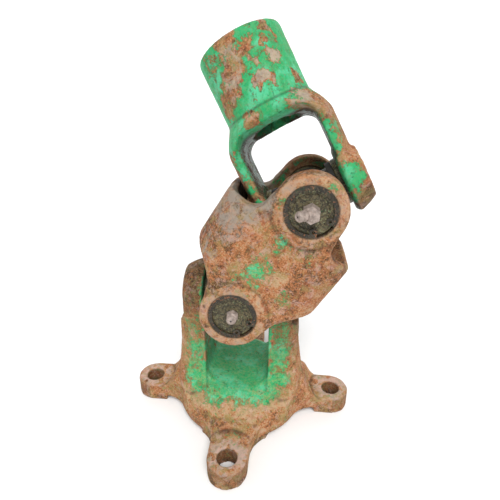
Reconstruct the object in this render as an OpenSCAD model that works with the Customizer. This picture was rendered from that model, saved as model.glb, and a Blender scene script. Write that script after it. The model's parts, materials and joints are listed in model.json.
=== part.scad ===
// Double cardan universal joint: four-lug flange yoke, double centre yoke and
// hub yoke, joined by two crosses that turn in needle-roller bearing cups.
// Units are millimetres. The flange stands on z = 0 with its axis on +Z.
// Every cross has its left/right arms in the outer yoke and its front/back
// arms in the centre yoke.

/* [Flange] */
// bolt circle diameter
bolt_circle = 150; // [130:1:170]
// bolt hole diameter
hole_d = 14.5; // [11:0.5:17]
// thickness of the bolting lugs
lug_t = 15.5; // [12:0.5:20]
// radius of the round lug ends
lug_r = 14.3; // [12:0.1:17]
// height of the lower joint centre above the mounting face
joint_h = 104; // [98:1:120]

/* [Joint] */
// bearing cup outer diameter
cup_d = 32; // [28:0.1:34]
// length of a cross over its two opposite cups
cross_len = 76; // [74:0.1:78]
// distance between the two joint centres
spacing = 89; // [86:1:100]
// outer radius of every bearing ear
ear_r = 23.4; // [22:0.1:25]
// distance from joint centre to the machined ear face
ear_face = 40.5; // [40:0.1:42]

/* [Hub] */
// outside diameter of the hub
hub_d = 59; // [52:0.5:64]
// distance from the upper joint centre to the end of the hub
hub_end = 110; // [95:1:130]
// shaft bore diameter
shaft_d = 35; // [25:0.5:38]
// keyway width
key_w = 10; // [6:1:12]

/* [Rest pose] */
// lower joint, turn about the flange yoke's arms
lower_tilt = -2.9; // [-15:0.1:15]
// lower joint, turn about the centre yoke's lower ears
lower_fold = 33; // [-34:0.1:34]
// upper joint, turn about the centre yoke's upper ears
upper_fold = -61.5; // [-62:0.1:62]
// upper joint, turn about the hub yoke's arms
upper_tilt = -11.7; // [-15:0.1:15]

/* [Hidden] */
$fn = 96;
eps = 0.01;
big = 200;
cup_r = cup_d / 2;
half_len = cross_len / 2;
bolt_r = bolt_circle / 2;
hub_r = hub_d / 2;

// bearing parts, all measured outwards from the joint centre
cup_wall = 3.0;
cup_floor = 3.0;
cup_mouth = 21.5;
trunnion_r = 10.0;
trunnion_end = half_len - cup_floor - 0.1;
shoulder_r = 12.6;
shoulder_end = 17.6;
run_gap = 0.04;
needle_r = (cup_r - cup_wall - trunnion_r - run_gap - 0.02) / 2;
needle_pitch = trunnion_r + run_gap + needle_r;
needle_count = 22;
needle_from = 22.3;
needle_to = half_len - cup_floor - 0.3;
grease_r = 2.2;
ring_t = 1.5;
groove_w = 1.6;
groove_r = cup_r + 1.1;
fitting_r = 3.0;

// flange yoke
base_r = 51;
base_foot_r = 46.5;
pad_from = 63;
relief_z = 4.2;
lug_fillet = 22;
throat_half = 23.6;
throat_floor = 36;
throat_corner = 10;
spot_front_r = 21.5;
spot_side_r = 17.3;

// centre yoke
drum_half_v = 49.5;
drum_half_n = 38.8;
drum_corner = 28;
inner_half_n = 24.6;
sweep_r = 46.6;
rim_r = 48.2;

// hub yoke
arm_x = 37.8;
window_half = 26;
window_top = 51;
window_corner = 9;
arm_half_y = 18.3;
arm_round = 7.5;
edge_cut = 3.6;
swell_y = 30.9;

// ---------------------------------------------------------------- frames
// each module places its children in the frame of one moving body

module at_flange_joint() {
  translate([0, 0, joint_h])
    children();
}

module at_cross_lower() {
  at_flange_joint()
    rotate([lower_tilt, 0, 0])
      children();
}

module at_center() {
  at_cross_lower()
    rotate([0, lower_fold, 0])
      children();
}

module at_cross_upper() {
  at_center()
    translate([0, 0, spacing])
      rotate([0, upper_fold, 0])
        children();
}

module at_hub() {
  at_cross_upper()
    rotate([upper_tilt, 0, 0])
      children();
}

// turn the local +Z outwards along one arm of a cross
module to_left() {
  rotate([0, -90, 0])
    children();
}

module to_right() {
  rotate([0, 90, 0])
    children();
}

module to_front() {
  rotate([90, 0, 0])
    children();
}

module to_back() {
  rotate([-90, 0, 0])
    children();
}

// ---------------------------------------------------------------- shared cuts

// one machined bearing bore: bore, ring groove and broken mouth edge
module bore_cut() {
  translate([0, 0, 15])
    cylinder(h = 40, r = cup_r);
  translate([0, 0, half_len])
    cylinder(h = groove_w, r = groove_r);
  translate([0, 0, ear_face - 0.5])
    cylinder(h = 0.5 + eps, r1 = cup_r, r2 = cup_r + 0.5);
}

// turned ear blank around one bearing bore, local +Z outwards
module ear_blank(inner, edge, inner_edge = 0.2) {
  rotate_extrude()
    polygon([
      [0, inner],
      [ear_r - inner_edge, inner],
      [ear_r, inner + inner_edge],
      [ear_r, ear_face - 2 * edge],
      [ear_r - 0.45 * edge, ear_face - 0.9 * edge],
      [ear_r - edge, ear_face],
      [0, ear_face]
    ]);
}

// ---------------------------------------------------------------- flange yoke

module lug_fillet_2d() {
  xc = sqrt(pow(base_r + lug_fillet, 2) - pow(lug_r + lug_fillet, 2));
  difference() {
    polygon([[0, 0], [xc, 0], [xc, lug_r + lug_fillet]]);
    translate([xc, lug_r + lug_fillet])
      circle(r = lug_fillet);
  }
}

module base_outline() {
  circle(r = base_r);
  for (a = [0, 90, 180, 270])
    rotate(a) {
      translate([0, -lug_r])
        square([bolt_r, 2 * lug_r]);
      translate([bolt_r, 0])
        circle(r = lug_r);
      lug_fillet_2d();
      mirror([0, 1])
        lug_fillet_2d();
    }
}

// turned outside of the whole yoke body, revolved about the flange axis
module flange_envelope() {
  rotate_extrude()
    polygon([
      [0, 0], [base_foot_r, 0], [base_r, relief_z + 0.8], [base_r + 0.4, 12], [base_r - 0.6, 19],
      [50.6, 30], [50.4, 37], [48.8, 46], [47.4, 60], [46.2, 80],
      [46.2, joint_h + 30], [0, joint_h + 30]
    ]);
}

// domed root between the lugs: steep skirt, brow, then a flatter shoulder
module flange_dome() {
  rotate_extrude()
    polygon([
      [0, 0], [base_foot_r, 0], [base_r, relief_z + 0.8], [base_r + 0.4, 11],
      [base_r - 0.6, 15.5], [49, 19.2], [47.2, 22.6], [44.6, 25.2], [41.6, 27],
      [38.6, 29.6], [36, 32.6], [33.6, 34.8], [31, throat_floor], [0, throat_floor]
    ]);
}

// ridge that rises from a front or back lug to the brow, local +X along the lug
module front_root() {
  intersection() {
    translate([30, 0, -2.6])
      rotate([0, 90, 0])
        cylinder(h = 32, r1 = 29, r2 = 21);
    linear_extrude(60)
      base_outline();
  }
}

// gusset that rises from a side lug to the arm, local +X along the lug
module side_root() {
  intersection() {
    rotate([90, 0, 0])
      translate([0, 0, -26])
        linear_extrude(52)
          polygon([
            [30, 1], [62, 8], [62, lug_t + 0.4], [59.5, lug_t + 2.4], [56.6, lug_t + 6],
            [53.8, 27.5], [51.8, 33], [50.5, 38], [48.9, 46], [30, 46]
          ]);
    translate([30, 0, 14])
      rotate([0, 90, 0])
        cylinder(h = 32, r1 = 31, r2 = 15);
    linear_extrude(60)
      base_outline();
  }
}

module lug_roots() {
  for (a = [90, 270])
    rotate(a)
      front_root();
  for (a = [0, 180])
    rotate(a)
      side_root();
}

module throat_2d() {
  translate([-throat_half, throat_floor + throat_corner])
    square([2 * throat_half, big]);
  translate([-throat_half + throat_corner, throat_floor])
    square([2 * (throat_half - throat_corner), big]);
  for (s = [-1, 1])
    translate([s * (throat_half - throat_corner), throat_floor + throat_corner])
      circle(r = throat_corner);
}

// side view of one pair of arms, wide at the root and round at the ears
module arm_width_2d() {
  translate([0, joint_h])
    circle(r = ear_r);
  polygon([
    [-36, 10], [36, 10], [32, 22], [27, 32], [24, 44], [22.4, 60],
    [22.4, 84], [ear_r - 0.02, joint_h],
    [-ear_r + 0.02, joint_h], [-22.4, 84], [-22.4, 60], [-24, 44], [-27, 32], [-32, 22]
  ]);
}

// plan section of the arms with rounded outer corners; t = 1 at the wide root
module arm_plan_2d(t) {
  p0 = [[30.1, 23.4], [35.8, 21.1], [40.5, 18.2], [44, 14], [46.4, 8]];
  p1 = [[37, 29], [43, 26.5], [47, 22], [49.6, 17], [51.2, 8]];
  q = [for (i = [0 : 4]) (1 - t) * p0[i] + t * p1[i]];
  for (m = [0, 1])
    mirror([0, m])
      polygon(concat(
        [[-q[4][0], -0.1]],
        [for (i = [4 : -1 : 0]) [-q[i][0], q[i][1]]],
        [for (i = [0 : 4]) q[i]],
        [[q[4][0], -0.1]]
      ));
}

// throat between the arms
module throat_cut() {
  rotate([90, 0, 0])
    translate([0, 0, -60])
      linear_extrude(120)
        throat_2d();
}

module flange_fork() {
  difference() {
    intersection() {
      flange_envelope();
      rotate([90, 0, 90])
        translate([0, 0, -60])
          linear_extrude(120)
            arm_width_2d();
      union() {
        linear_extrude(24)
          circle(r = 60);
        for (i = [0 : 9])
          linear_extrude(28 + 4 * i)
            arm_plan_2d(1 - i / 9);
        linear_extrude(joint_h + 30)
          arm_plan_2d(0);
      }
    }
    throat_cut();
    // round machined faces and rounded outer edges at the ears
    at_flange_joint()
      for (m = [0, 1])
        mirror([m, 0, 0]) {
          translate([ear_face, 0, 0])
            to_right()
              cylinder(h = 20, r = ear_r + 0.2);
          difference() {
            translate([25, -30, 0])
              cube([30, 60, 30]);
            to_right()
              ear_blank(0, 5.2);
          }
        }
  }
}

module flange_yoke() {
  color([0.22, 0.62, 0.36])
    difference() {
      union() {
        // lugs: full depth pads at the bolts, relieved necks behind them
        difference() {
          linear_extrude(lug_t)
            base_outline();
          difference() {
            translate([0, 0, -1])
              cylinder(h = relief_z + 1, r = pad_from);
            translate([0, 0, -2])
              cylinder(h = relief_z + 4, r = base_foot_r - 2);
          }
        }
        difference() {
          union() {
            flange_dome();
            lug_roots();
          }
          throat_cut();
        }
        flange_fork();
      }
      // spot faces for the bolt heads
      for (a = [90, 270])
        rotate(a)
          translate([bolt_r, 0, lug_t])
            cylinder(h = 60, r = spot_front_r);
      for (a = [0, 180])
        rotate(a)
          translate([bolt_r, 0, lug_t])
            cylinder(h = 60, r = spot_side_r);
      // bolt holes
      for (a = [0, 90, 180, 270])
        rotate(a)
          translate([bolt_r, 0, -1]) {
            cylinder(h = lug_t + 2, r = hole_d / 2);
            translate([0, 0, lug_t + 0.4])
              cylinder(h = 0.7, r1 = hole_d / 2, r2 = hole_d / 2 + 0.7);
          }
      at_flange_joint() {
        to_left()
          bore_cut();
        to_right()
          bore_cut();
      }
    }
}

// ---------------------------------------------------------------- centre yoke

// front view: two round ears and the drum's two side wings
module center_face_2d() {
  mid = spacing / 2;
  for (u = [0, spacing])
    translate([0, u])
      circle(r = ear_r);
  // lower half, with wings that slope down to the ear
  polygon([
    [-ear_r, 0], [ear_r, 0], [25.4, 5], [27, 11.2], [33.2, 17.8], [39.6, 22.6], [45.6, 25.6],
    [drum_half_v, 29], [drum_half_v, mid], [-drum_half_v, mid], [-drum_half_v, 29],
    [-45.6, 25.6], [-39.6, 22.6], [-33.2, 17.8], [-27, 11.2], [-25.4, 5]
  ]);
  // upper half, squarer, with a round fillet at each side of the ear
  polygon([
    [-ear_r, spacing], [ear_r, spacing], [25, 79], [25, 69.8], [45, 69.8], [48.4, 67.4],
    [drum_half_v, 64.5], [drum_half_v, mid], [-drum_half_v, mid], [-drum_half_v, 64.5],
    [-48.4, 67.4], [-45, 69.8], [-25, 69.8], [-25, 79]
  ]);
  for (s = [0, 1])
    mirror([s, 0])
      difference() {
        polygon([[24.4, 81], [34, 80], [34, 69.7], [24.4, 69.7]]);
        translate([34.6, 79.4])
          circle(r = 9.6);
      }
}

// section across the drum
module drum_section_2d() {
  square([2 * (drum_half_v - drum_corner), 2 * drum_half_n], center = true);
  square([2 * drum_half_v, 2 * (drum_half_n - drum_corner)], center = true);
  for (sx = [-1, 1])
    for (sy = [-1, 1])
      translate([sx * (drum_half_v - drum_corner), sy * (drum_half_n - drum_corner)])
        circle(r = drum_corner);
}

module center_yoke() {
  color([0.60, 0.38, 0.26])
    at_center()
      difference() {
        union() {
          intersection() {
            rotate([90, 0, 0])
              translate([0, 0, -60])
                linear_extrude(120)
                  center_face_2d();
            translate([0, 0, -30])
              linear_extrude(spacing + 60)
                drum_section_2d();
          }
          for (u = [0, spacing])
            translate([0, 0, u]) {
              to_front()
                ear_blank(inner_half_n, 0.9);
              to_back()
                ear_blank(inner_half_n, 0.9);
            }
        }
        // hollows swept by the ears of the two outer yokes, round at the bottom
        for (u = [0, spacing])
          translate([0, 0, u])
            rotate([90, 0, 0])
              rotate_extrude()
                polygon([
                  [0, -inner_half_n], [sweep_r - 4.5, -inner_half_n], [sweep_r - 2.2, -23.2],
                  [sweep_r - 0.6, -20.8], [sweep_r + 0.4, -17.6], [rim_r, -12], [rim_r, 12],
                  [sweep_r + 0.4, 17.6], [sweep_r - 0.6, 20.8], [sweep_r - 2.2, 23.2],
                  [sweep_r - 4.5, inner_half_n], [0, inner_half_n]
                ]);
        // upper right wing falls away towards its side and front
        translate([39.9, -35.2, 68.4])
          rotate([12.7, 40.2, 0])
            translate([-15, -30, 0])
              cube([45, 100, 30]);
        // open window between the two hollows
        translate([0, 0, spacing / 2])
          cube([62, 2 * inner_half_n, 70], center = true);
        for (u = [0, spacing])
          translate([0, 0, u]) {
            to_front()
              bore_cut();
            to_back()
              bore_cut();
          }
      }
}

// ---------------------------------------------------------------- hub yoke

// side view of the fork: ears, narrower arms, rounded top
module fork_side_2d() {
  circle(r = ear_r);
  polygon([
    [-ear_r, 0], [ear_r, 0], [22.6, 7], [20.2, 17], [arm_half_y, 27], [arm_half_y, 38],
    [19.4, 42.4], [22, 46.6], [25, 50.2], [27.4, 53.4], [29.6, 56.6], [swell_y, 60], [swell_y, 67],
    [-swell_y, 67], [-swell_y, 60], [-29.6, 56.6], [-27.4, 53.4], [-25, 50.2], [-22, 46.6], [-19.4, 42.4],
    [-arm_half_y, 38], [-arm_half_y, 27], [-20.2, 17], [-22.6, 7]
  ]);
}

// rounded section of the two arms, seen along the hub axis
module arm_section_2d(half_y, round) {
  square([2 * (arm_x - round), 2 * half_y], center = true);
  square([2 * arm_x, 2 * (half_y - round)], center = true);
  for (sx = [-1, 1])
    for (sy = [-1, 1])
      translate([sx * (arm_x - round), sy * (half_y - round)])
        circle(r = round);
}

// turned outside of the fork with round shoulders up to the hub
module fork_outside() {
  intersection() {
    rotate_extrude()
      polygon([
        [0, 10], [arm_x, 10], [arm_x, 45], [arm_x - 0.5, 48.4], [arm_x - 1.7, 52], [arm_x - 3.4, 55.4],
        [arm_x - 5.3, 58.6], [arm_x - 6.8, 61], [swell_y - 0.5, 62.6], [hub_r - 0.4, 63.6],
        [hub_r - 0.4, 66.5], [0, 66.5]
      ]);
    union() {
      linear_extrude(40)
        arm_section_2d(arm_half_y + 0.3, arm_round);
      for (i = [1 : 6])
        linear_extrude(38 + 2.2 * i)
          arm_section_2d(arm_half_y + 0.3 + 1.2 * i, arm_round - 0.6 * i);
      translate([0, 0, 50.5])
        cylinder(h = 30, r = 50);
    }
  }
}

// window between the arms, its front and back edges broken by edge_cut
module fork_window() {
  // draft of the window faces, from depth y0 outwards
  y0 = 12;
  reach = 19;
  flare = edge_cut;
  xc = window_half - window_corner;
  zc = window_top - window_corner;
  rotate([90, 0, 0])
    translate([0, 0, -60])
      linear_extrude(120) {
        translate([-window_half, -30])
          square([2 * window_half, zc + 30]);
        translate([-xc, -30])
          square([2 * xc, window_top + 30]);
        for (s = [-1, 1])
          translate([s * xc, zc])
            circle(r = window_corner);
      }
  for (m = [0, 1])
    mirror([0, m, 0]) {
      for (s = [0, 1])
        mirror([s, 0, 0]) {
          translate([0, 0, 15])
            linear_extrude(zc - 15)
              polygon([[0, y0], [window_half, y0], [window_half + flare, y0 + reach], [0, y0 + reach]]);
          translate([xc, y0, zc])
            rotate([-90, 0, 0])
              cylinder(h = reach, r1 = window_corner, r2 = window_corner + flare);
        }
      rotate([90, 0, 90])
        translate([0, 0, -xc])
          linear_extrude(2 * xc)
            polygon([[y0, 30], [y0, window_top], [y0 + reach, window_top + flare], [y0 + reach, 30]]);
    }
}

module hub_yoke() {
  color([0.22, 0.62, 0.36])
    at_hub()
      difference() {
        union() {
          difference() {
            intersection() {
              rotate([90, 0, 90])
                translate([0, 0, -60])
                  linear_extrude(120)
                    fork_side_2d();
              union() {
                fork_outside();
                translate([-29, -ear_r, -2])
                  cube([58, 2 * ear_r, 22]);
              }
            }
            fork_window();
          }
          to_left()
            ear_blank(window_half - 1.5, 6, 2.5);
          to_right()
            ear_blank(window_half - 1.5, 6, 2.5);
          // hub barrel with its tapered root
          rotate_extrude()
            polygon([
              [0, window_top + 0.5], [14.5, window_top + 0.5], [18.8, 56.5], [24, 59.4],
              [hub_r - 1, 61.5],
              [hub_r, 63.5], [hub_r, hub_end - 2.2], [hub_r - 0.8, hub_end - 0.6],
              [hub_r - 2.4, hub_end], [0, hub_end]
            ]);
        }
        // shaft bore, broken at the mouth
        cylinder(h = hub_end + 1, r = shaft_d / 2);
        translate([0, 0, hub_end - 1.5])
          cylinder(h = 1.5 + eps, r1 = shaft_d / 2, r2 = shaft_d / 2 + 1.5);
        // keyway
        translate([-key_w / 2, 0, 40])
          cube([key_w, shaft_d / 2 + 3.3, hub_end]);
        to_left()
          bore_cut();
        to_right()
          bore_cut();
      }
}

// ---------------------------------------------------------------- crosses

module cross_arm() {
  cylinder(h = shoulder_end, r = shoulder_r);
  cylinder(h = trunnion_end - 1, r = trunnion_r);
  translate([0, 0, trunnion_end - 1])
    cylinder(h = 1, r1 = trunnion_r, r2 = trunnion_r - 1);
}

module cross_body() {
  difference() {
    union() {
      sphere(r = 17.2);
      to_left()
        cross_arm();
      to_right()
        cross_arm();
      to_front()
        cross_arm();
      to_back()
        cross_arm();
    }
    // grease galleries drilled through both axes
    rotate([0, 90, 0])
      cylinder(h = 2 * big, r = grease_r, center = true);
    rotate([90, 0, 0])
      cylinder(h = 2 * big, r = grease_r, center = true);
  }
}

module cross_lower() {
  color([0.55, 0.55, 0.56])
    at_cross_lower()
      cross_body();
}

module cross_upper() {
  color([0.55, 0.55, 0.56])
    at_cross_upper()
      cross_body();
}

// ---------------------------------------------------------------- bearing parts

// pressed cup with a shallow dished end; the hole takes a grease fitting
module cup(hole) {
  color([0.42, 0.40, 0.38])
    rotate_extrude()
      polygon([
        [hole, half_len - cup_floor], [cup_r - cup_wall, half_len - cup_floor],
        [cup_r - cup_wall, cup_mouth], [cup_r - 0.6, cup_mouth], [cup_r, cup_mouth + 0.6],
        [cup_r, half_len - 1], [cup_r - 1, half_len], [cup_r - 4.4, half_len],
        [cup_r - 5.4, half_len - 0.7], [max(hole, 0), half_len - 0.7]
      ]);
}

module needles() {
  color([0.72, 0.72, 0.74])
    for (i = [0 : needle_count - 1])
      rotate(i * 360 / needle_count)
        translate([needle_pitch, 0, needle_from])
          cylinder(h = needle_to - needle_from, r = needle_r, $fn = 24);
}

// rubber lip seal pressed on the root of the trunnion
module seal() {
  color([0.10, 0.10, 0.10])
    rotate_extrude()
      polygon([
        [trunnion_r, shoulder_end], [15.4, shoulder_end], [15.4, cup_mouth - 0.3],
        [12.85, cup_mouth - 0.3], [12.6, cup_mouth + 0.4], [10.6, cup_mouth + 0.4],
        [trunnion_r, cup_mouth]
      ]);
}

// internal retaining ring with two eared ends, in the groove of the ear
module ring() {
  gap = 44;
  color([0.30, 0.29, 0.28])
    translate([0, 0, half_len + (groove_w - ring_t) / 2])
      linear_extrude(ring_t)
        difference() {
          union() {
            difference() {
              circle(r = groove_r - 0.05);
              circle(r = cup_r - 2.2);
              polygon([
                [0, 0],
                [big * cos(-gap / 2), big * sin(-gap / 2)],
                [big * cos(gap / 2), big * sin(gap / 2)]
              ]);
            }
            for (s = [-1, 1])
              rotate(s * (gap / 2 + 6))
                translate([cup_r - 3.2, 0])
                  circle(r = 2.5);
          }
          for (s = [-1, 1])
            rotate(s * (gap / 2 + 6))
              translate([cup_r - 3.4, 0])
                circle(r = 1.0, $fn = 32);
        }
}

// ---------------------------------------------------------------- grease fittings

fit_seat = half_len - 0.7;
oilway_r = 1.0;
pocket_r = 1.6;
// elbow fitting: height of the bend, then turn and tilt of its head
elbow_h = 5.2;
head_turn = 213;
head_tilt = 47;

// bored nipple head, local +Z out of the head, base at the origin
module nipple_head() {
  rotate_extrude($fn = 48)
    polygon([
      [pocket_r, 0], [3.0, 0], [3.4, 1.6], [2.3, 2.6], [2.3, 3.4], [3.3, 4.3], [3.3, 5.2],
      [2.4, 6.4], [0.7, 6.4], [0.9, 5.8], [pocket_r, 5.4]
    ]);
}

// check ball held under the mouth of a nipple head
module nipple_ball() {
  color([0.75, 0.75, 0.76])
    translate([0, 0, 4.45])
      sphere(r = 1.2, $fn = 32);
}

// small coil spring under the ball, built of half turns
module nipple_spring() {
  turns = 4;
  coil_r = 1.1;
  wire_r = 0.2;
  pitch = 0.8;
  tilt = asin(pitch / 4 / coil_r);
  color([0.6, 0.6, 0.62])
    for (i = [0 : turns - 1])
      translate([0, 0, 0.05 + wire_r + i * pitch]) {
        translate([0, 0, pitch / 4])
          rotate([0, tilt, 0])
            rotate_extrude(angle = 180, $fn = 32)
              translate([coil_r, 0])
                circle(r = wire_r, $fn = 16);
        translate([0, 0, 3 * pitch / 4])
          rotate([0, -tilt, 0])
            rotate(180)
              rotate_extrude(angle = 180, $fn = 32)
                translate([coil_r, 0])
                  circle(r = wire_r, $fn = 16);
      }
}

module at_fitting_lower() {
  at_center()
    to_front()
      translate([0, 0, fit_seat + 1.6])
        children();
}

// the elbow's head leaves the hex at 45 degrees, towards the left
module at_fitting_upper() {
  at_center()
    translate([0, 0, spacing])
      to_front()
        translate([0, 0, fit_seat + elbow_h])
          rotate([0, 0, head_turn])
            rotate([0, head_tilt, 0])
              translate([0, 0, 4.6])
                children();
}

module fitting_lower() {
  color([0.72, 0.68, 0.64]) {
    at_fitting_lower()
      nipple_head();
    at_center()
      to_front()
        translate([0, 0, fit_seat])
          difference() {
            union() {
              cylinder(h = 1.65, r = 4.3, $fn = 6);
              translate([0, 0, -2.2])
                cylinder(h = 2.3, r = fitting_r);
            }
            translate([0, 0, -3])
              cylinder(h = 6, r = oilway_r, $fn = 32);
            translate([0, 0, 1.55])
              cylinder(h = 1, r = pocket_r, $fn = 32);
          }
  }
}

module fitting_upper() {
  color([0.72, 0.68, 0.64]) {
    at_fitting_upper()
      nipple_head();
    at_center()
      translate([0, 0, spacing])
        to_front()
          translate([0, 0, fit_seat])
            difference() {
              union() {
                cylinder(h = 8.4, r = 5.6, $fn = 6);
                translate([0, 0, -2.2])
                  cylinder(h = 2.3, r = fitting_r);
                translate([0, 0, elbow_h])
                  rotate([0, 0, head_turn])
                    rotate([0, head_tilt, 0])
                      cylinder(h = 4.65, r = 3.4);
              }
              translate([0, 0, -3])
                cylinder(h = 3 + elbow_h, r = oilway_r, $fn = 32);
              translate([0, 0, elbow_h])
                rotate([0, 0, head_turn])
                  rotate([0, head_tilt, 0]) {
                    cylinder(h = 6, r = oilway_r, $fn = 32);
                    translate([0, 0, 4.55])
                      cylinder(h = 6, r = pocket_r, $fn = 32);
                  }
            }
  }
}

// ---------------------------------------------------------------- placed copies

module cup_lower_left() {
  at_flange_joint()
    to_left()
      cup(0);
}

module cup_lower_right() {
  at_flange_joint()
    to_right()
      cup(0);
}

module cup_lower_front() {
  at_center()
    to_front()
      cup(fitting_r);
}

module cup_lower_back() {
  at_center()
    to_back()
      cup(0);
}

module cup_upper_left() {
  at_hub()
    to_left()
      cup(0);
}

module cup_upper_right() {
  at_hub()
    to_right()
      cup(0);
}

module cup_upper_front() {
  at_center()
    translate([0, 0, spacing])
      to_front()
        cup(fitting_r);
}

module cup_upper_back() {
  at_center()
    translate([0, 0, spacing])
      to_back()
        cup(0);
}

module needles_lower_left() {
  at_flange_joint()
    to_left()
      needles();
}

module needles_lower_right() {
  at_flange_joint()
    to_right()
      needles();
}

module needles_lower_front() {
  at_center()
    to_front()
      needles();
}

module needles_lower_back() {
  at_center()
    to_back()
      needles();
}

module needles_upper_left() {
  at_hub()
    to_left()
      needles();
}

module needles_upper_right() {
  at_hub()
    to_right()
      needles();
}

module needles_upper_front() {
  at_center()
    translate([0, 0, spacing])
      to_front()
        needles();
}

module needles_upper_back() {
  at_center()
    translate([0, 0, spacing])
      to_back()
        needles();
}

module seal_lower_left() {
  at_cross_lower()
    to_left()
      seal();
}

module seal_lower_right() {
  at_cross_lower()
    to_right()
      seal();
}

module seal_lower_front() {
  at_cross_lower()
    to_front()
      seal();
}

module seal_lower_back() {
  at_cross_lower()
    to_back()
      seal();
}

module seal_upper_left() {
  at_cross_upper()
    to_left()
      seal();
}

module seal_upper_right() {
  at_cross_upper()
    to_right()
      seal();
}

module seal_upper_front() {
  at_cross_upper()
    to_front()
      seal();
}

module seal_upper_back() {
  at_cross_upper()
    to_back()
      seal();
}

module ring_lower_left() {
  at_flange_joint()
    to_left()
      rotate(90)
        ring();
}

module ring_lower_right() {
  at_flange_joint()
    to_right()
      rotate(-90)
        ring();
}

module ring_lower_front() {
  at_center()
    to_front()
      rotate(-15)
        ring();
}

module ring_lower_back() {
  at_center()
    to_back()
      rotate(90)
        ring();
}

module ring_upper_left() {
  at_hub()
    to_left()
      rotate(90)
        ring();
}

module ring_upper_right() {
  at_hub()
    to_right()
      rotate(-90)
        ring();
}

module ring_upper_front() {
  at_center()
    translate([0, 0, spacing])
      to_front()
        rotate(-20)
          ring();
}

module ring_upper_back() {
  at_center()
    translate([0, 0, spacing])
      to_back()
        rotate(90)
          ring();
}

module fitting_lower_ball() {
  at_fitting_lower()
    nipple_ball();
}

module fitting_lower_spring() {
  at_fitting_lower()
    nipple_spring();
}

module fitting_upper_ball() {
  at_fitting_upper()
    nipple_ball();
}

module fitting_upper_spring() {
  at_fitting_upper()
    nipple_spring();
}

flange_yoke();
center_yoke();
hub_yoke();
cross_lower();
cross_upper();
cup_lower_left();
cup_lower_right();
cup_lower_front();
cup_lower_back();
cup_upper_left();
cup_upper_right();
cup_upper_front();
cup_upper_back();
needles_lower_left();
needles_lower_right();
needles_lower_front();
needles_lower_back();
needles_upper_left();
needles_upper_right();
needles_upper_front();
needles_upper_back();
seal_lower_left();
seal_lower_right();
seal_lower_front();
seal_lower_back();
seal_upper_left();
seal_upper_right();
seal_upper_front();
seal_upper_back();
ring_lower_left();
ring_lower_right();
ring_lower_front();
ring_lower_back();
ring_upper_left();
ring_upper_right();
ring_upper_front();
ring_upper_back();
fitting_lower();
fitting_lower_ball();
fitting_lower_spring();
fitting_upper();
fitting_upper_ball();
fitting_upper_spring();
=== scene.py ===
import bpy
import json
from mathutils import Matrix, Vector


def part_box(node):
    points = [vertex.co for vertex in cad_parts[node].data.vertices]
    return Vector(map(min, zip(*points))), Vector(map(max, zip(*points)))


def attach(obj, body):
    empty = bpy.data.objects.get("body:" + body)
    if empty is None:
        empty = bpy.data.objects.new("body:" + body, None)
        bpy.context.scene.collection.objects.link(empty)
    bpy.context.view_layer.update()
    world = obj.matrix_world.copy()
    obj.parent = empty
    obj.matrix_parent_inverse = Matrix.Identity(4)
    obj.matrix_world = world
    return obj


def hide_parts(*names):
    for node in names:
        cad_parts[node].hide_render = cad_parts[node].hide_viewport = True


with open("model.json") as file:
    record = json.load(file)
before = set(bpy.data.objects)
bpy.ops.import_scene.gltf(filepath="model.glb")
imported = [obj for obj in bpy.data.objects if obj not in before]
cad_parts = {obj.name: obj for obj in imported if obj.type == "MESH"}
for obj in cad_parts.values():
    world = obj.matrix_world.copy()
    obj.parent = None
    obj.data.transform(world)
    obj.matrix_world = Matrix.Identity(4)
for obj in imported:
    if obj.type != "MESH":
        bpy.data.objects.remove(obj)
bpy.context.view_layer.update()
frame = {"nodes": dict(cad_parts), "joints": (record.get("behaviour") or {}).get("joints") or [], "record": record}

# Looks for a double cardan joint: three soft-edged iron yokes in worn paint and
# rust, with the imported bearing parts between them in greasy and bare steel.
import json
import math

import bpy
import numpy as np
from mathutils import Matrix, Vector, noise

MM = 0.001
NODES = frame["nodes"]
JOINTS = {j["name"]: j for j in frame["joints"]}
MOUNTS = {m["name"]: m for m in frame["record"]["mounts"]}

# ---------------------------------------------------------------- body frames


def axes_from_yz(y, z):
    """A 3x3 array whose rows are a body's own x, y and z directions."""
    y, z = Vector(y).normalized(), Vector(z).normalized()
    return np.array([y.cross(z).normalized(), y, z])


def axes_from_xz(x, z):
    """The same, for a body whose x and z directions are known."""
    x, z = Vector(x).normalized(), Vector(z).normalized()
    return np.array([x, z.cross(x).normalized(), z])


LOWER = np.array(JOINTS["lower_fold"]["pos_m"])
UPPER = np.array(JOINTS["upper_fold"]["pos_m"])
# origin and axes of each yoke
FRAMES = {
    "flange_yoke": (np.zeros(3), np.eye(3)),
    "center_yoke": (LOWER, axes_from_yz(JOINTS["lower_fold"]["axis"], UPPER - LOWER)),
    "hub_yoke": (UPPER, axes_from_xz(JOINTS["upper_tilt"]["axis"], MOUNTS["hub_bore"]["axis"])),
}
BODY_OF = {
    node: body
    for body, nodes in frame["record"]["behaviour"]["bodies"].items()
    for node in nodes
}

# dimensions in millimetres, each in its yoke's own frame
LOWER_H = LOWER[2] / MM  # mounting face to lower joint center
SPACING = float(np.linalg.norm(UPPER - LOWER)) / MM  # between the joint centers
CUP_R = 16.0
FACE = 40.5  # joint center to the outer face of an ear
EAR_INNER = 24.6  # joint center to the inner face of an ear
RING_FACE_R = 24.2  # machined round on the outer face of an ear
BOLT_R = MOUNTS["flange_bolts"]["dims"]["pcd_mm"] / 2
HOLE_R = MOUNTS["flange_bolts"]["dims"]["hole_r_mm"]
SHAFT_R = MOUNTS["hub_bore"]["dims"]["r_mm"]
SPOT_SIDE_R = 17.3
SPOT_FRONT_R = 21.5
# x, y and spot face radius of each bolting lug
LUGS = (
    (BOLT_R, 0, SPOT_SIDE_R), (-BOLT_R, 0, SPOT_SIDE_R),
    (0, BOLT_R, SPOT_FRONT_R), (0, -BOLT_R, SPOT_FRONT_R),
)

# ---------------------------------------------------------------- mesh helpers

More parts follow.
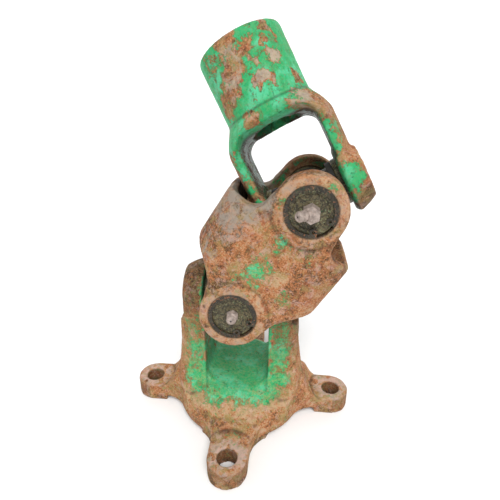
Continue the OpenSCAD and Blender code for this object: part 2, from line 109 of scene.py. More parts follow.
WELD_GAP = 0.01 * MM
VOXEL = 1.0 * MM


def coords(mesh):
    co = np.empty(len(mesh.vertices) * 3, np.float32)
    mesh.vertices.foreach_get("co", co)
    return co.reshape(-1, 3).astype(float)


def set_coords(mesh, co):
    mesh.vertices.foreach_set("co", co.astype(np.float32).ravel())
    mesh.update()


def normals(mesh):
    no = np.empty(len(mesh.vertices) * 3, np.float32)
    mesh.vertex_normals.foreach_get("vector", no)
    return no.reshape(-1, 3).astype(float)


def edge_ends(mesh):
    ends = np.empty(len(mesh.edges) * 2, np.int64)
    mesh.edges.foreach_get("vertices", ends)
    return ends.reshape(-1, 2)


def neighbour_mean(values, ends, count):
    """Mean of each vertex's neighbours, for a scalar or vector per vertex."""
    a, b = ends[:, 0], ends[:, 1]
    degree = np.bincount(a, minlength=count) + np.bincount(b, minlength=count)
    degree = np.maximum(degree, 1)
    if values.ndim == 1:
        total = np.bincount(a, values[b], count) + np.bincount(b, values[a], count)
        return total / degree
    return np.stack([neighbour_mean(values[:, k], ends, count) for k in range(3)], 1)


def smooth_step(x, low, high):
    """0 below low, 1 above high, with a smooth rise between them."""
    t = np.clip((x - low) / (high - low), 0, 1)
    return t * t * (3 - 2 * t)


def store(mesh, name, values):
    """Keeps a scalar or vector per vertex, for the materials to read."""
    kind = "FLOAT" if values.ndim == 1 else "FLOAT_VECTOR"
    key = "value" if values.ndim == 1 else "vector"
    attribute = mesh.attributes.new(name, kind, "POINT")
    attribute.data.foreach_set(key, values.astype(np.float32).ravel())


def local_mm(co, node):
    """Points of the scene in a yoke's own frame, in millimetres."""
    origin, axes = FRAMES[node]
    return (co - origin) @ axes.T / MM


def from_local(p, node):
    """The way back from local_mm."""
    origin, axes = FRAMES[node]
    return p * MM @ axes + origin


def true_up(p, center, axis, radius, span, reach=1.0):
    """Moves points near a machined cylinder back onto it, and says which they were."""
    q = p - np.array(center, float)
    along = q[:, axis]
    radial = q.copy()
    radial[:, axis] = 0
    distance = np.linalg.norm(radial, axis=1)
    near = (np.abs(distance - radius) < reach) & (along > span[0]) & (along < span[1])
    scale = radius / np.maximum(distance[near], 1e-6)
    p[near] += radial[near] * (scale[:, None] - 1)
    return near


def remeshed(node):
    """A closed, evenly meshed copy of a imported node."""
    mesh = NODES[node].data.copy()
    piece = bpy.data.objects.new("forged_" + node, mesh)
    bpy.context.scene.collection.objects.link(piece)
    piece.modifiers.new("weld", "WELD").merge_threshold = WELD_GAP
    voxels = piece.modifiers.new("voxels", "REMESH")
    voxels.mode = "VOXEL"
    voxels.voxel_size = VOXEL
    graph = bpy.context.evaluated_depsgraph_get()
    even = bpy.data.meshes.new_from_object(piece.evaluated_get(graph))
    piece.modifiers.clear()
    piece.data = even
    bpy.data.meshes.remove(mesh)
    return piece


# ---------------------------------------------------------------- machined places

X, Y, Z = range(3)
BORE_SPAN = (-FACE + 1, FACE - 1)
HOLE_SPAN = (0.8, 14.6)
SHAFT_SPAN = (54, 108)
# center, axis, radius and span along the axis of every bore
MACHINED = {
    "flange_yoke": [((0, 0, LOWER_H), X, CUP_R, BORE_SPAN)]
    + [((x, y, 0), Z, HOLE_R, HOLE_SPAN) for x, y, _ in LUGS],
    "center_yoke": [((0, 0, u), Y, CUP_R, BORE_SPAN) for u in (0, SPACING)],
    "hub_yoke": [((0, 0, 0), X, CUP_R, BORE_SPAN), ((0, 0, 0), Z, SHAFT_R, SHAFT_SPAN)],
}

# ------------------------------------------------- where paint, grime and bare metal are


def highest(*fields):
    """The largest of several fields at each point."""
    return np.maximum.reduce(fields)


def blob(p, center, radius):
    """1 at a point, falling to 0 at radius from it."""
    distance = np.linalg.norm(p - np.array(center, float), axis=1)
    return smooth_step(-distance, -radius, -0.3 * radius)


def blobs(p, *spots):
    """Sum of (center, radius, gain) blobs."""
    return sum(gain * blob(p, center, radius) for center, radius, gain in spots)


def band(x, low, high, soft):
    """1 between low and high, with soft ends."""
    return smooth_step(x, low - soft, low) * smooth_step(-x, -high - soft, -high)


# reach and size of the two noises that ruffle the zones, and where each axis reads them
WANDERS = ((3.4, 9), (2.6, 3.4))
AXIS_SEEDS = (Vector((0, 0, 0)), Vector((31.7, 17.3, 5.9)), Vector((7.1, 43.9, 23.3)))


def wandered(p):
    """Points nudged by a few millimetres of noise, so that no zone has a neat outline."""
    def nudge(v):
        return [
            sum(reach * noise.noise(v / size + seed) for reach, size in WANDERS)
            for seed in AXIS_SEEDS
        ]

    return p + np.array([nudge(Vector(v)) for v in p])


def in_bores(p, node):
    """1 inside the bearing bores."""
    field = np.zeros(len(p))
    for center, axis, radius, _ in MACHINED[node]:
        if radius != CUP_R:
            continue
        q = p - np.array(center, float)
        along = q[:, axis].copy()
        q[:, axis] = 0
        inside = smooth_step(-np.linalg.norm(q, axis=1), -radius - 1.2, -radius - 0.3)
        field = highest(field, inside * (np.abs(along) < FACE + 1))
    return field


def flange_zones(p):
    """Cover, grime and painted shade, bare metal and warmth on the flange yoke."""
    x, y, z = p.T
    r = np.hypot(x, y)
    ax, ay = np.abs(x), np.abs(y)
    throat = smooth_step(-ax, -24.6, -23.8) * (z > 32)
    cover = np.full(len(p), -0.30)
    cover += 0.42 * band(z, 29.5, 42, 5) * smooth_step(-r, -50, -40) * smooth_step(ay, 8, 18)
    cover += 0.32 * band(ax, 24, 36, 7) * band(z, 42, 64, 10) * smooth_step(ay, 15, 20)
    cover += 0.30 * band(x, 29, 37, 5) * band(z, 62, 90, 8) * smooth_step(ay, 14, 19)
    cover += 0.20 * band(-x, 28, 38, 6) * band(z, 66, 88, 8) * smooth_step(ay, 14, 19)
    cover += blobs(
        p, ((-44, 8, 60), 26, 0.26), ((45, -4, 84), 16, 0.24), ((40, 16, 30), 18, 0.2),
    )
    cover = np.where(throat > 0.5, 0.64, cover)
    # painted shade in the throat, on its side walls and on the inner ear faces between the parts; darker on the
    # left ear and the upper right arm; dark bore walls
    grime_and_shade = highest(
        0.09 * throat,
        0.45 * throat * smooth_step(ax, 21, 23.4),
        0.85 * smooth_step(-ax, -26, -24.4) * smooth_step(z, 80, 92),
        0.38 * smooth_step(-x, 22, 30) * smooth_step(z, 80, 98),
        0.24 * smooth_step(x, 24, 30) * smooth_step(z, 52, 62),
        in_bores(p, "flange_yoke"),
    )
    # machined ear faces, then on each lug its spot face, a painted shadow line at the cutter's edge, painted shade
    # in the hole and a darker band on the rim
    bare = 0.30 * smooth_step(ax, 39.6, 40.3) * (z > 78)
    for lug_x, lug_y, spot in LUGS:
        d = np.hypot(x - lug_x, y - lug_y)
        face = smooth_step(-d, -spot, -spot + 1.5) * smooth_step(z, 14.0, 14.9)
        bare = highest(bare, face * (0.85 - 0.35 * smooth_step(d, 10, 16)))
        cutter_line = band(d, spot - 0.5, spot + 0.4, 0.8) * band(z, 14.6, 17, 0.8)
        in_hole = smooth_step(-d, -HOLE_R - 0.5, -HOLE_R + 0.4) * (z < 13.5)
        lug_rim = band(d, HOLE_R + 5.6, HOLE_R + 7.4, 1.6) * band(z, 5, 14, 2)
        grime_and_shade = highest(
            grime_and_shade,
            0.50 * cutter_line * (r < BOLT_R - 6),
            0.62 * in_hole,
            0.40 * lug_rim * (r > BOLT_R + 2),
        )
    warm = 0.06 * smooth_step(-z, -24, -18) + 0.40 * band(z, 22.5, 28, 2) * band(r, 40, 49, 2)
    warm += 0.10 * smooth_step(ax, 40, 44) * band(z, 28, 70, 8) - 0.30 * smooth_step(-z, -9, -2)
    warm -= 0.14 * smooth_step(z, 84, 100)
    return cover, grime_and_shade, bare, warm


def center_zones(p):
    """Cover, grime and painted shade, bare metal and warmth on the center yoke."""
    x, y, z = p.T
    ay = np.abs(y)
    cover = np.full(len(p), -0.42)
    cover += blobs(
        p, ((-7, -39, 25), 18, 0.33), ((-1, -39, 36), 14, 0.22), ((-8, -39, 44), 14, 0.22),
        ((-3, -39, 62), 10, 0.42), ((-17, -41, 85), 8, 0.40), ((4, -41, 108), 9, 0.40),
        ((20, -39, 31), 10, 0.30), ((14, -39, 64), 12, 0.20), ((-22, -41, 2), 8, 0.34),
        ((8, 39, 48), 20, 0.42), ((-20, 40, 70), 12, 0.36), ((14, 40, 12), 9, 0.36),
    )
    between_ears = smooth_step(-ay, -EAR_INNER - 0.8, -EAR_INNER + 0.4)
    cover += 0.5 * between_ears * smooth_step(z, 66, 84) * smooth_step(y, 20, 24)
    # inside the drum: away from its outer skin and between the two ear plates
    skin = np.hypot(np.maximum(np.abs(x) - 21.5, 0), np.maximum(ay - 10.8, 0)) - 28
    hollow = between_ears * smooth_step(-skin, 1.4, 2.6)
    open_rim = smooth_step(x, 34, 42) * smooth_step(z, 50, 58)
    # the round ear faces, and the painted shadow line where each steps down to the drum
    ear_r = np.minimum(np.hypot(x, z), np.hypot(x, z - SPACING))
    ring = smooth_step(-ear_r, -RING_FACE_R, -RING_FACE_R + 1.2) * smooth_step(ay, 39.2, 40.2)
    step_shadow = band(ear_r, 24.4, 25.0, 0.8) * smooth_step(ay, 37.6, 38.6)
    # painted shade inside the drum's hollow, lighter toward its open rim, a painted shadow along each ear's step,
    # and dark bore walls
    grime_and_shade = highest(
        0.80 * hollow * (1 - open_rim),
        0.40 * step_shadow * (np.abs(z - SPACING / 2) < 30),
        in_bores(p, "center_yoke"),
    )
    bare = highest(
        0.58 * ring,
        0.66 * smooth_step(-x, 2, 28) * band(z, 50, 86, 10),
        0.50 * smooth_step(-x, 18, 38) * band(z, 18, 52, 10),
    )
    warm = 0.16 * smooth_step(-np.hypot(x + 4, z - 48), -34, -14) - 0.16 * smooth_step(-x, 12, 32)
    warm += 0.10 * smooth_step(x, 20, 40) * band(z, 20, 50, 10) + 0.24 * ring
    return cover, grime_and_shade, bare, warm


# worn places on the hub: angle from the front, height, half sizes, paint loss, bareness
HUB_WEAR = (
    (-13, 94, 15, 14, 0.42, 0.60), (-25, 82, 14, 10, 0.42, 0.60), (-45, 73, 15, 9, 0.44, 0.3),
    (-4, 106, 14, 5, 0.36, 0.2), (-42, 100, 13, 9, 0.26, 0.0), (12, 97, 12, 4, 0.44, 0.3),
    (12, 88, 6, 5, 0.44, 0.4), (37, 87, 9, 5, 0.46, 0.85), (16, 77, 14, 4.5, 0.48, 0.85),
    (3, 75, 5, 3, 0.36, 0.7), (27, 71, 4, 5, 0.42, 0.7), (43, 106, 6, 5, 0.40, 0.1),
    (38, 96, 5, 4, 0.38, 0.1), (49, 97, 4, 8, 0.34, 0.3), (61, 71, 11, 5, 0.48, 0.1),
    (95, 92, 13, 14, 0.36, 0.3), (135, 86, 24, 15, 0.46, 0.4), (180, 100, 18, 9, 0.44, 0.2),
    (-120, 80, 24, 18, 0.46, 0.4), (-85, 98, 9, 10, 0.32, 0.1),
)


def hub_zones(p):
    """Cover, grime and painted shade, bare metal and warmth on the hub yoke."""
    x, y, z = p.T
    r = np.hypot(x, y)
    ax, ay = np.abs(x), np.abs(y)
    angle = np.degrees(np.arctan2(x, -y))
    barrel = smooth_step(z, 61, 64)
    arms = 1 - barrel
    cover = 0.05 + 0.19 * barrel
    bare = np.zeros(len(p))
    for at, height, half_a, half_z, loss, shine in HUB_WEAR:
        turn = (angle - at + 180) % 360 - 180
        here = smooth_step(-np.hypot(turn / half_a, (z - height) / half_z), -1.3, -0.55) * barrel
        cover -= loss * here
        bare = highest(bare, shine * here)
    outer = smooth_step(ax + 3.2 * (x > 0), 32.5, 36.5)
    cover += 0.20 * arms * smooth_step(ay, 14, 19) * (1 - outer)
    cover -= 0.30 * arms * outer * smooth_step(z, 12, 20)
    cover -= 0.42 * arms * smooth_step(-z, -22, -12) * smooth_step(ax, 24, 27)
    cover += blobs(
        p, ((31, -22, 2), 13, 0.62), ((-31, -22, 4), 12, 0.5), ((34, -16, 34), 9, 0.26),
        ((33, -18, 24), 8, 0.16), ((24, -24, 56), 15, -0.44), ((33, -18, 46), 15, -0.34),
        ((-10, -31, 58), 9, -0.40), ((-35, -15, 27), 11, -0.22), ((31, 22, 0), 16, 0.5),
        ((-24, 24, 55), 13, -0.36), ((-8, 31, 58), 12, -0.30),
    )
    bare = highest(bare, blobs(p, ((23, -25, 58), 15, 0.75), ((33, -17, 47), 10, 0.5)))
    # painted shade in the window between the arms and down the shaft bore, a painted shadow line at the foot of
    # the barrel, darker ear tips and end face, dark bore walls
    window = smooth_step(-ax, -28.2, -26.6) * smooth_step(-z, -56, -52.5)
    window *= smooth_step(-ay, -21, -15)
    grime_and_shade = highest(
        0.95 * window,
        0.70 * smooth_step(-r, -18.6, -17.8) * (z > 50),
        0.55 * band(z, 62.8, 63.6, 0.9),
        0.35 * smooth_step(-z, 4, 14) * smooth_step(ax, 27, 30),
        0.45 * smooth_step(z, 108.4, 109.6),
        in_bores(p, "hub_yoke"),
    )
    warm = -0.12 * arms * smooth_step(-z, -14, 2) + 0.06 * arms * outer * smooth_step(z, 14, 24)
    return cover, grime_and_shade, bare, warm


ZONES = {"flange_yoke": flange_zones, "center_yoke": center_zones, "hub_yoke": hub_zones}

# ---------------------------------------------------------------- soft-edged castings

SMOOTH_ROUNDS = {"flange_yoke": 3, "center_yoke": 4, "hub_yoke": 4}
EDGE_ROUNDS = 3
PITS_MM = 0.36
# how far a vertex stands above or below its neighbours at the onset and full strength
CONVEX_MM = (0.01, 0.09)
CREASE_MM = (0.012, 0.08)


def pitted_depth(p):
    """Depth of the cast and rusted skin below its nominal surface, 0 to 1."""
    out = np.empty(len(p))
    for i, v in enumerate(p):
        coarse = noise.noise(Vector(v) / 7)
        fine = noise.noise(Vector(v) / 2.6 + Vector((9, 4, 7)))
        out[i] = 0.5 + 0.35 * coarse + 0.3 * fine
    return np.clip(out, 0, 1)


def forged(node):
    """A soft-edged copy of one yoke, with its bores kept true."""
    piece = remeshed(node)
    mesh = piece.data
    low, high = (np.array(corner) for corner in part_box(node))
    ends = edge_ends(mesh)
    count = len(mesh.vertices)
    co = coords(mesh)
    for _ in range(SMOOTH_ROUNDS[node]):
        co = 0.5 * co + 0.5 * neighbour_mean(co, ends, count)
    p = local_mm(co, node)
    machined = np.zeros(count, bool)
    for center, axis, radius, span in MACHINED[node]:
        machined |= true_up(p, center, axis, radius, span)
    set_coords(mesh, from_local(p, node))
    # edges and creases, read from how far each vertex stands above its neighbours
    no = normals(mesh)
    co = coords(mesh)
    lift = -np.einsum("ij,ij->i", neighbour_mean(co, ends, count) - co, no) / MM
    for _ in range(EDGE_ROUNDS):
        lift = 0.4 * lift + 0.6 * neighbour_mean(lift, ends, count)
    depth = pitted_depth(p) * PITS_MM * ~machined
    co -= no * (depth * MM)[:, None]
    set_coords(mesh, np.clip(co, low, high))
    # paint and bare metal get ragged outlines, while grime and painted shade keep to bores, recesses and corners
    cover, _, bare, warm = ZONES[node](wandered(p))
    _, grime_and_shade, _, _ = ZONES[node](p)
    store(mesh, "local", p * MM)
    store(mesh, "convex", smooth_step(lift, *CONVEX_MM))
    store(mesh, "crease", smooth_step(-lift, *CREASE_MM))
    store(mesh, "cover", cover)
    store(mesh, "grime_and_shade", np.clip(grime_and_shade, 0, 1))
    store(mesh, "bare", np.clip(bare, 0, 1))
    store(mesh, "warm", warm)
    mesh.polygons.foreach_set("use_smooth", np.ones(len(mesh.polygons), bool))
    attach(piece, BODY_OF[node])
    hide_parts(node)
    return piece


# ---------------------------------------------------------------- node helpers


class Graph:
    """A small builder for one material's node tree."""

    def __init__(self, name):
        self.material = bpy.data.materials.new(name)
        self.material.use_nodes = True
        self.tree = self.material.node_tree
        self.tree.nodes.clear()
        self.shader = self.add("ShaderNodeBsdfPrincipled")
        output = self.add("ShaderNodeOutputMaterial")
        self.tree.links.new(self.shader.outputs[0], output.inputs[0])

    def add(self, kind):
        return self.tree.nodes.new(kind)

    def plug(self, socket, value):
        """Links a socket to another one, or sets its number or colour."""
        if isinstance(value, bpy.types.NodeSocket):
            self.tree.links.new(value, socket)
        elif hasattr(socket.default_value, "__len__") and len(value) == 3:
            socket.default_value = (*value, 1) if len(socket.default_value) == 4 else value
        else:
            socket.default_value = value

    def attribute(self, name, output="Fac"):
        node = self.add("ShaderNodeAttribute")
        node.attribute_name = name
        return node.outputs[output]

    def position(self):
        return self.add("ShaderNodeTexCoord").outputs["Object"]

    def noise(self, vector, size_mm, detail=4.0, rough=0.6, twist=0.0, offset=0.0):
        """Noise from 0 to 1 whose features are about size_mm across.

        detail and rough add finer layers, twist bends them, offset reads another place.
        """
        if offset:
            move = self.add("ShaderNodeVectorMath")
            move.operation = "ADD"
            self.plug(move.inputs[0], vector)
            move.inputs[1].default_value = (offset, -offset, 2 * offset)
            vector = move.outputs[0]
        node = self.add("ShaderNodeTexNoise")
        self.plug(node.inputs["Vector"], vector)
        node.inputs["Scale"].default_value = 1 / (size_mm * MM)
        node.inputs["Detail"].default_value = detail
        node.inputs["Roughness"].default_value = rough
        node.inputs["Distortion"].default_value = twist
        return node.outputs["Fac"]

    def math(self, operation, a, b=0.0, c=None, clamp=False):
        node = self.add("ShaderNodeMath")
        node.operation = operation
        node.use_clamp = clamp
        self.plug(node.inputs[0], a)
        self.plug(node.inputs[1], b)
        if c is not None:
            self.plug(node.inputs[2], c)
        return node.outputs[0]

    def total(self, *terms):
        """Sum of (value, weight) pairs."""
        out = 0.0
        for value, weight in terms:
            out = self.math("MULTIPLY_ADD", value, weight, out)
        return out

    def step(self, value, low, high):
        """0 at low and 1 at high, or the other way round if low is above high."""
        node = self.add("ShaderNodeMapRange")
        node.interpolation_type = "SMOOTHSTEP"
        self.plug(node.inputs["Value"], value)
        node.inputs["From Min"].default_value = low
        node.inputs["From Max"].default_value = high
        return node.outputs["Result"]

    def mix(self, factor, a, b):
        """Colour a where factor is 0 and b where it is 1."""
        node = self.add("ShaderNodeMix")
        node.data_type = "RGBA"
        self.plug(node.inputs["Factor"], factor)
        self.plug(node.inputs[6], a)
        self.plug(node.inputs[7], b)
        return node.outputs[2]

    def ramp(self, factor, stops):
        """Colours at (position, colour) stops."""
        node = self.add("ShaderNodeValToRGB")
        self.plug(node.inputs["Fac"], factor)
        elements = node.color_ramp.elements
        while len(elements) < len(stops):
            elements.new(0.5)
        for element, (at, colour) in zip(elements, stops):
            element.position = at
            element.color = (*colour, 1)
        return node.outputs["Color"]

    def bump(self, height, distance_mm, strength=1.0):
        node = self.add("ShaderNodeBump")
        node.inputs["Strength"].default_value = strength
        node.inputs["Distance"].default_value = distance_mm * MM
        self.plug(node.inputs["Height"], height)
        self.plug(self.shader.inputs["Normal"], node.outputs["Normal"])

    def set(self, **sockets):
        """Sets the shader's sockets by name and returns the material."""
        for name, value in sockets.items():
            self.plug(self.shader.inputs[name.replace("_", " ")], value)
        return self.material


# colours in linear light
PAINT = (0.020, 0.390, 0.130)
PAINT_PALE = (0.085, 0.560, 0.290)
PAINT_DARK = (0.008, 0.120, 0.035)
FRINGE = (0.300, 0.270, 0.095)
RUST_DARK = (0.055, 0.027, 0.014)
RUST_BROWN = (0.200, 0.092, 0.040)
RUST_ORANGE = (0.440, 0.158, 0.056)
RUST_TAN = (0.500, 0.330, 0.190)
RUST_RED = (0.300, 0.085, 0.045)
OLIVE = (0.300, 0.235, 0.085)
OLIVE_PALE = (0.420, 0.360, 0.130)
BARE_PINK = (0.560, 0.380, 0.310)
BARE_GREY = (0.330, 0.285, 0.235)
BARE_TAN = (0.500, 0.310, 0.200)
BARE_SAND = (0.500, 0.430, 0.310)
GREASE_AND_SHADE = (0.010, 0.008, 0.004)


def rust(g, at, warm, pitting):
    """Mottled rust: broad tone, hue drifts, and small dark and pale specks."""
    broad = g.noise(at, 24, 3, 0.55, 0.4)
    mottle = g.noise(at, 7.5, 8, 0.75, 0.8, 0.31)
    grain = g.noise(at, 1.2, 3, 0.70, 0.0, 0.77)
    tone = g.total((broad, 1.0), (mottle, 2.0), (grain, 1.6), (warm, 1.0), (1.0, -1.88))
    colour = g.ramp(tone, [
        (0.06, RUST_DARK), (0.32, RUST_BROWN), (0.56, RUST_ORANGE), (0.90, RUST_TAN),
    ])
    red = g.step(g.noise(at, 9, 7, 0.72, 0.9, 1.4), 0.50, 0.62)
    colour = g.mix(g.math("MULTIPLY", red, 0.50), colour, RUST_RED)
    olive = g.step(g.noise(at, 13, 8, 0.74, 1.1, 4.6), 0.49, 0.60)
    colour = g.mix(g.math("MULTIPLY", olive, 0.62), colour, OLIVE)
    bloom = g.step(g.noise(at, 7, 8, 0.76, 0.6, 8.3), 0.51, 0.63)
    colour = g.mix(g.math("MULTIPLY", bloom, 0.55), colour, BARE_PINK)
    specks = g.step(g.noise(at, 1.3, 2, 0.5, 0.0, 1.9), 0.58, 0.68)
    colour = g.mix(g.math("MULTIPLY", specks, 0.55), colour, RUST_TAN)
    pits = g.step(g.noise(at, 2.2, 6, 0.80, 0.3, 2.7), 0.45, 0.36)
    return g.mix(g.math("MULTIPLY", pits, pitting), colour, RUST_DARK), grain


def worn_paint(name, warm, thin, fade, pitting, bare_tone):
    """Green paint, chipped or faded, over rusted iron with greasy and bare places and painted shade in its
    recesses and creases.

    warm shifts the rust to orange, thin is how far the paint is worn through, fade how soft
    its chipped edges are, pitting how dark the pits in the rust are.
    """
    g = Graph(name)
    at = g.attribute("local", "Vector")
    convex, cover, crease = g.attribute("convex"), g.attribute("cover"), g.attribute("crease")
    grime_and_shade, bare = g.attribute("grime_and_shade"), g.attribute("bare")
    pale_share = g.step(g.attribute("warm"), -0.10, 0.06)
    iron, grain = rust(g, at, g.math("ADD", g.attribute("warm"), warm), pitting)
    # convex edges lighter tan: rubbed edges, with a painted highlight along them
    iron = g.mix(g.math("MULTIPLY", convex, 0.30), iron, RUST_TAN)
    scuff = g.total((g.noise(at, 8, 8, 0.75, 0.7, 4.1), 1.5), (bare, 0.75), (1.0, -0.75))
    scuffed = g.math("MULTIPLY", g.step(scuff, 0.30, 0.62), 0.85)
    pale = g.math("MULTIPLY", g.step(g.noise(at, 3, 5, 0.7, 0.0, 5.3), 0.34, 0.58), pale_share)
    iron = g.mix(scuffed, iron, g.mix(pale, BARE_GREY, bare_tone))
    # what is left of the paint: patches, ragged at every scale
    patch = g.noise(at, 17, 9, 0.74, 1.1, 6.2)
    chips = g.noise(at, 4.2, 8, 0.78, 0.9, 7.9)
    fine = g.noise(at, 1.7, 5, 0.75, 0.5, 6.9)
    left = g.total(
        (patch, 1.2), (chips, 1.4), (fine, 1.1), (cover, 1.0), (convex, -0.16), (1.0, -1.35),
    )
    painted = g.step(left, 0.505 - fade / 2, 0.505 + fade / 2)
    halo = g.step(left, 0.380 - fade, 0.505)
    tint = g.noise(at, 13, 6, 0.65, 0.3, 8.8)
    green = g.mix(g.step(tint, 0.44, 0.64), PAINT, PAINT_PALE)
    green = g.mix(g.step(g.noise(at, 3.0, 7, 0.78, 0.3, 9.4), 0.47, 0.33), green, PAINT_DARK)
    stain = g.step(g.noise(at, 7, 8, 0.76, 0.6, 3.3), 0.52, 0.66)
    worn_through = g.step(g.noise(at, 2.1, 5, 0.74, 0.4, 5.9), 0.42, 0.62)
    weak = g.step(cover, 1.00, 0.34)
    for where, share, tone in ((stain, 0.38, RUST_BROWN), (worn_through, thin, OLIVE_PALE)):
        green = g.mix(g.math("MULTIPLY", where, g.math("MULTIPLY", weak, share)), green, tone)
    colour = g.mix(g.math("MULTIPLY", halo, 0.66), iron, FRINGE)
    colour = g.mix(painted, colour, green)
    # near-black grease and painted shade: dark bore walls, and painted shade in the window, the throat, hollows,
    # holes and along step lines
    grease_and_shade = g.math("MULTIPLY", grime_and_shade, g.step(g.noise(at, 5, 6, 0.70, 0.4, 2.2), 0.22, 0.48))
    flecks = g.step(g.noise(at, 1.6, 3, 0.6, 0.0, 6.6), 0.58, 0.68)
    dirt_and_shade = g.mix(g.math("MULTIPLY", flecks, 0.5), GREASE_AND_SHADE, PAINT_DARK)
    colour = g.mix(g.math("MULTIPLY", grease_and_shade, 0.88), colour, dirt_and_shade)
    # painted shade: creases and inner corners darkened toward dark rust
    colour = g.mix(g.math("MULTIPLY", crease, 0.62), colour, RUST_DARK)
    # matt rust, satin paint, wet-looking grease
    rough = g.math("MULTIPLY_ADD", painted, -0.36, 0.84)
    rough = g.math("MULTIPLY_ADD", grain, 0.16, rough)
    rough = g.math("MULTIPLY_ADD", grease_and_shade, -0.28, rough, clamp=True)
    height = g.total((painted, 0.50), (grain, 0.45), (chips, 1.1))
    height = g.total((g.noise(at, 0.8, 2, 0.6, 0.0, 1.3), 0.35), (height, 1.0))
    g.bump(height, 0.42, 1.0)
    return g.set(Base_Color=colour, Roughness=rough, Specular_IOR_Level=0.28)


def greasy_steel(name, dark, light, size_mm, metal, specks, speck_tone):
    """Dirty steel: a tarnished ground with grease film and small flecks."""
    g = Graph(name)
    at = g.position()
    film = g.noise(at, size_mm, 6, 0.68, 0.7)
    grain = g.noise(at, 1.0, 3, 0.6, 0.0, 0.9)
    colour = g.ramp(g.total((film, 0.75), (grain, 0.25)), [
        (0.30, dark), (0.44, light), (0.50, dark), (0.58, light), (0.66, dark),
    ])
    fleck = g.step(g.noise(at, 1.3, 3, 0.6, 0.0, 3.1), 0.58, 0.66)
    colour = g.mix(g.math("MULTIPLY", fleck, specks), colour, speck_tone)
    green = g.step(g.noise(at, 1.7, 4, 0.6, 0.0, 5.7), 0.60, 0.66)
    colour = g.mix(g.math("MULTIPLY", green, 0.5 * specks), colour, PAINT_DARK)
    g.bump(g.total((film, 1.6), (grain, 0.4)), 0.9, 0.9)
    rough = g.math("MULTIPLY_ADD", film, 0.5, 0.22, clamp=True)
    return g.set(Base_Color=colour, Roughness=rough, Metallic=metal)


def plain_steel(name, colour, rough, metal=0.8, wear=0.2):
    """Turned or ground steel with a faint mottling."""
    g = Graph(name)
    at = g.position()
    cloud = g.noise(at, 3.0, 5, 0.65, 0.3)
    fine = g.noise(at, 0.7, 3, 0.6, 0.0, 1.7)
    dull = tuple(c * (1 - wear) for c in colour)
    tone = g.mix(g.step(cloud, 0.35, 0.65), dull, colour)
    tone = g.mix(g.math("MULTIPLY", g.step(fine, 0.56, 0.70), wear), tone, RUST_BROWN)
    g.bump(g.total((fine, 0.7), (cloud, 0.3)), 0.12, 0.6)
    return g.set(
        Base_Color=tone, Metallic=metal,
        Roughness=g.math("MULTIPLY_ADD", cloud, 0.25, rough, clamp=True),
    )


def rubber(name):
    """Old nitrile rubber with dust in its pores."""
    g = Graph(name)
    at = g.position()
    dust = g.noise(at, 2.4, 6, 0.7)
    colour = g.mix(g.step(dust, 0.45, 0.75), (0.014, 0.013, 0.012), (0.060, 0.046, 0.034))
    g.bump(dust, 0.15, 0.6)
    return g.set(Base_Color=colour, Roughness=g.math("MULTIPLY_ADD", dust, 0.3, 0.55))


# ---------------------------------------------------------------- the object

RECIPES = {
    "paint_flange": (worn_paint, dict(
        warm=0.04, thin=0.50, fade=0.20, pitting=0.60, bare_tone=BARE_PINK,
    )),
    "rust_center": (worn_paint, dict(
        warm=0.0, thin=0.60, fade=0.08, pitting=0.85, bare_tone=BARE_TAN,
    )),
    "paint_hub": (worn_paint, dict(
        warm=0.02, thin=0.12, fade=0.04, pitting=0.80, bare_tone=BARE_SAND,
    )),
    "cross_steel": (greasy_steel, dict(
        dark=(0.035, 0.028, 0.022), light=(0.150, 0.130, 0.115), size_mm=5.0, metal=0.5,
        specks=0.4, speck_tone=RUST_ORANGE,
    )),
    "cup_steel": (greasy_steel, dict(
        dark=(0.007, 0.005, 0.003), light=(0.150, 0.120, 0.055), size_mm=7.0, metal=0.0,
        specks=0.6, speck_tone=(0.300, 0.330, 0.170),
    )),
    "roller_steel": (plain_steel, dict(colour=(0.55, 0.55, 0.56), rough=0.18)),
    "seal_rubber": (rubber, dict()),
    "ring_steel": (greasy_steel, dict(
        dark=(0.008, 0.006, 0.003), light=(0.060, 0.046, 0.026), size_mm=6.5, metal=0.0,
        specks=0.6, speck_tone=RUST_ORANGE,
    )),
    "fitting_steel": (plain_steel, dict(
        colour=(0.470, 0.380, 0.330), rough=0.45, metal=0.25, wear=0.45,
    )),
    "spring_steel": (plain_steel, dict(colour=(0.50, 0.50, 0.52), rough=0.25)),
}
MATERIALS = {slot: make(slot, **settings) for slot, (make, settings) in RECIPES.items()}
SLOT_OF = {s["node"]: s["material_slot"] for s in frame["record"]["subparts"]}


def dress(obj, slot):
    """Gives an object the material of its slot."""
    obj.data.materials.clear()
    obj.data.materials.append(MATERIALS[slot])


for node_name, node_object in NODES.items():
    if node_name in ZONES:
        yoke = forged(node_name)
        dress(yoke, SLOT_OF[node_name])
    else:
        dress(node_object, SLOT_OF[node_name])

# ---------------------------------------------------------------- studio


def backdrop():
    """Pale floor that curves up into a wall behind the object."""
    half, front, back, bend, top = 5.0, -4.0, 1.6, 1.2, 4.0
    steps = 16
    profile = [(front, 0.0), (back, 0.0)]
    for i in range(1, steps + 1):
        a = math.pi / 2 * i / steps
        profile.append((back + bend * math.sin(a), bend * (1 - math.cos(a))))
    profile.append((back + bend, top))
    verts = [(side * half, y, z) for y, z in profile for side in (-1, 1)]
    faces = [(2 * i, 2 * i + 1, 2 * i + 3, 2 * i + 2) for i in range(len(profile) - 1)]
    mesh = bpy.data.meshes.new("backdrop")
    mesh.from_pydata(verts, [], faces)
    mesh.polygons.foreach_set("use_smooth", np.ones(len(faces), bool))
    floor = bpy.data.objects.new("backdrop", mesh)
    bpy.context.scene.collection.objects.link(floor)
    g = Graph("paper")
    grain = g.noise(g.position(), 40, 2)
    mesh.materials.append(g.set(
        Base_Color=g.mix(grain, (0.94, 0.94, 0.94), (0.96, 0.96, 0.96)), Roughness=0.9,
    ))


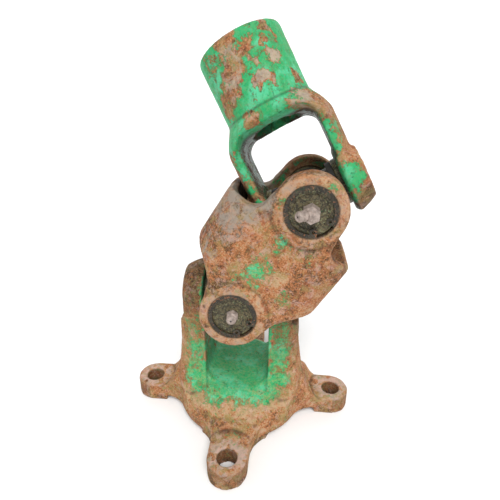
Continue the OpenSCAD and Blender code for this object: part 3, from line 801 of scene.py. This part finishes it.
def soft_sun(name, toward, strength, spread):
    """A broad, even light that comes from one side of the sky."""
    data = bpy.data.lights.new(name, "SUN")
    data.energy = strength
    data.angle = math.radians(spread)
    lamp = bpy.data.objects.new(name, data)
    bpy.context.scene.collection.objects.link(lamp)
    lamp.rotation_euler = Vector(toward).to_track_quat("Z", "Y").to_euler()


LIGHT_SKY = 0.60
SEEN_SKY = 1.0


def white_sky():
    """A white world that lights the object softly and is pure white where it is seen."""
    world = bpy.data.worlds.new("soft white")
    world.use_nodes = True
    tree = world.node_tree
    light_sky, seen_sky = tree.nodes["Background"], tree.nodes.new("ShaderNodeBackground")
    for sky, strength in ((light_sky, LIGHT_SKY), (seen_sky, SEEN_SKY)):
        sky.inputs["Color"].default_value = (1, 1, 1, 1)
        sky.inputs["Strength"].default_value = strength
    choose = tree.nodes.new("ShaderNodeMixShader")
    path = tree.nodes.new("ShaderNodeLightPath")
    tree.links.new(path.outputs["Is Camera Ray"], choose.inputs[0])
    tree.links.new(light_sky.outputs[0], choose.inputs[1])
    tree.links.new(seen_sky.outputs[0], choose.inputs[2])
    tree.links.new(choose.outputs[0], tree.nodes["World Output"].inputs["Surface"])
    bpy.context.scene.world = world


def camera():
    """Stands close in front, a little to the right, looking down by about 25 degrees."""
    place = Vector((0.0376, -0.2654, 0.2609))
    turn, lift, roll = math.radians(6.39), math.radians(24.72), math.radians(-0.12)
    back = Vector((
        math.sin(turn) * math.cos(lift), -math.cos(turn) * math.cos(lift), math.sin(lift),
    ))
    right = (-back).cross(Vector((0, 0, 1))).normalized()
    up = right.cross(-back)
    rolled_right = right * math.cos(roll) + up * math.sin(roll)
    rolled_up = up * math.cos(roll) - right * math.sin(roll)
    matrix = Matrix((rolled_right, rolled_up, back)).transposed().to_4x4()
    matrix.translation = place
    data = bpy.data.cameras.new("camera")
    data.sensor_width = 36
    data.lens = 29.124
    data.clip_start = 0.01
    view = bpy.data.objects.new("camera", data)
    bpy.context.scene.collection.objects.link(view)
    view.matrix_world = matrix
    bpy.context.scene.camera = view


backdrop()
white_sky()
soft_sun("key", toward=(0.20, -0.70, 1.0), strength=2.25, spread=30)
bpy.context.scene.view_settings.view_transform = "Standard"
camera()
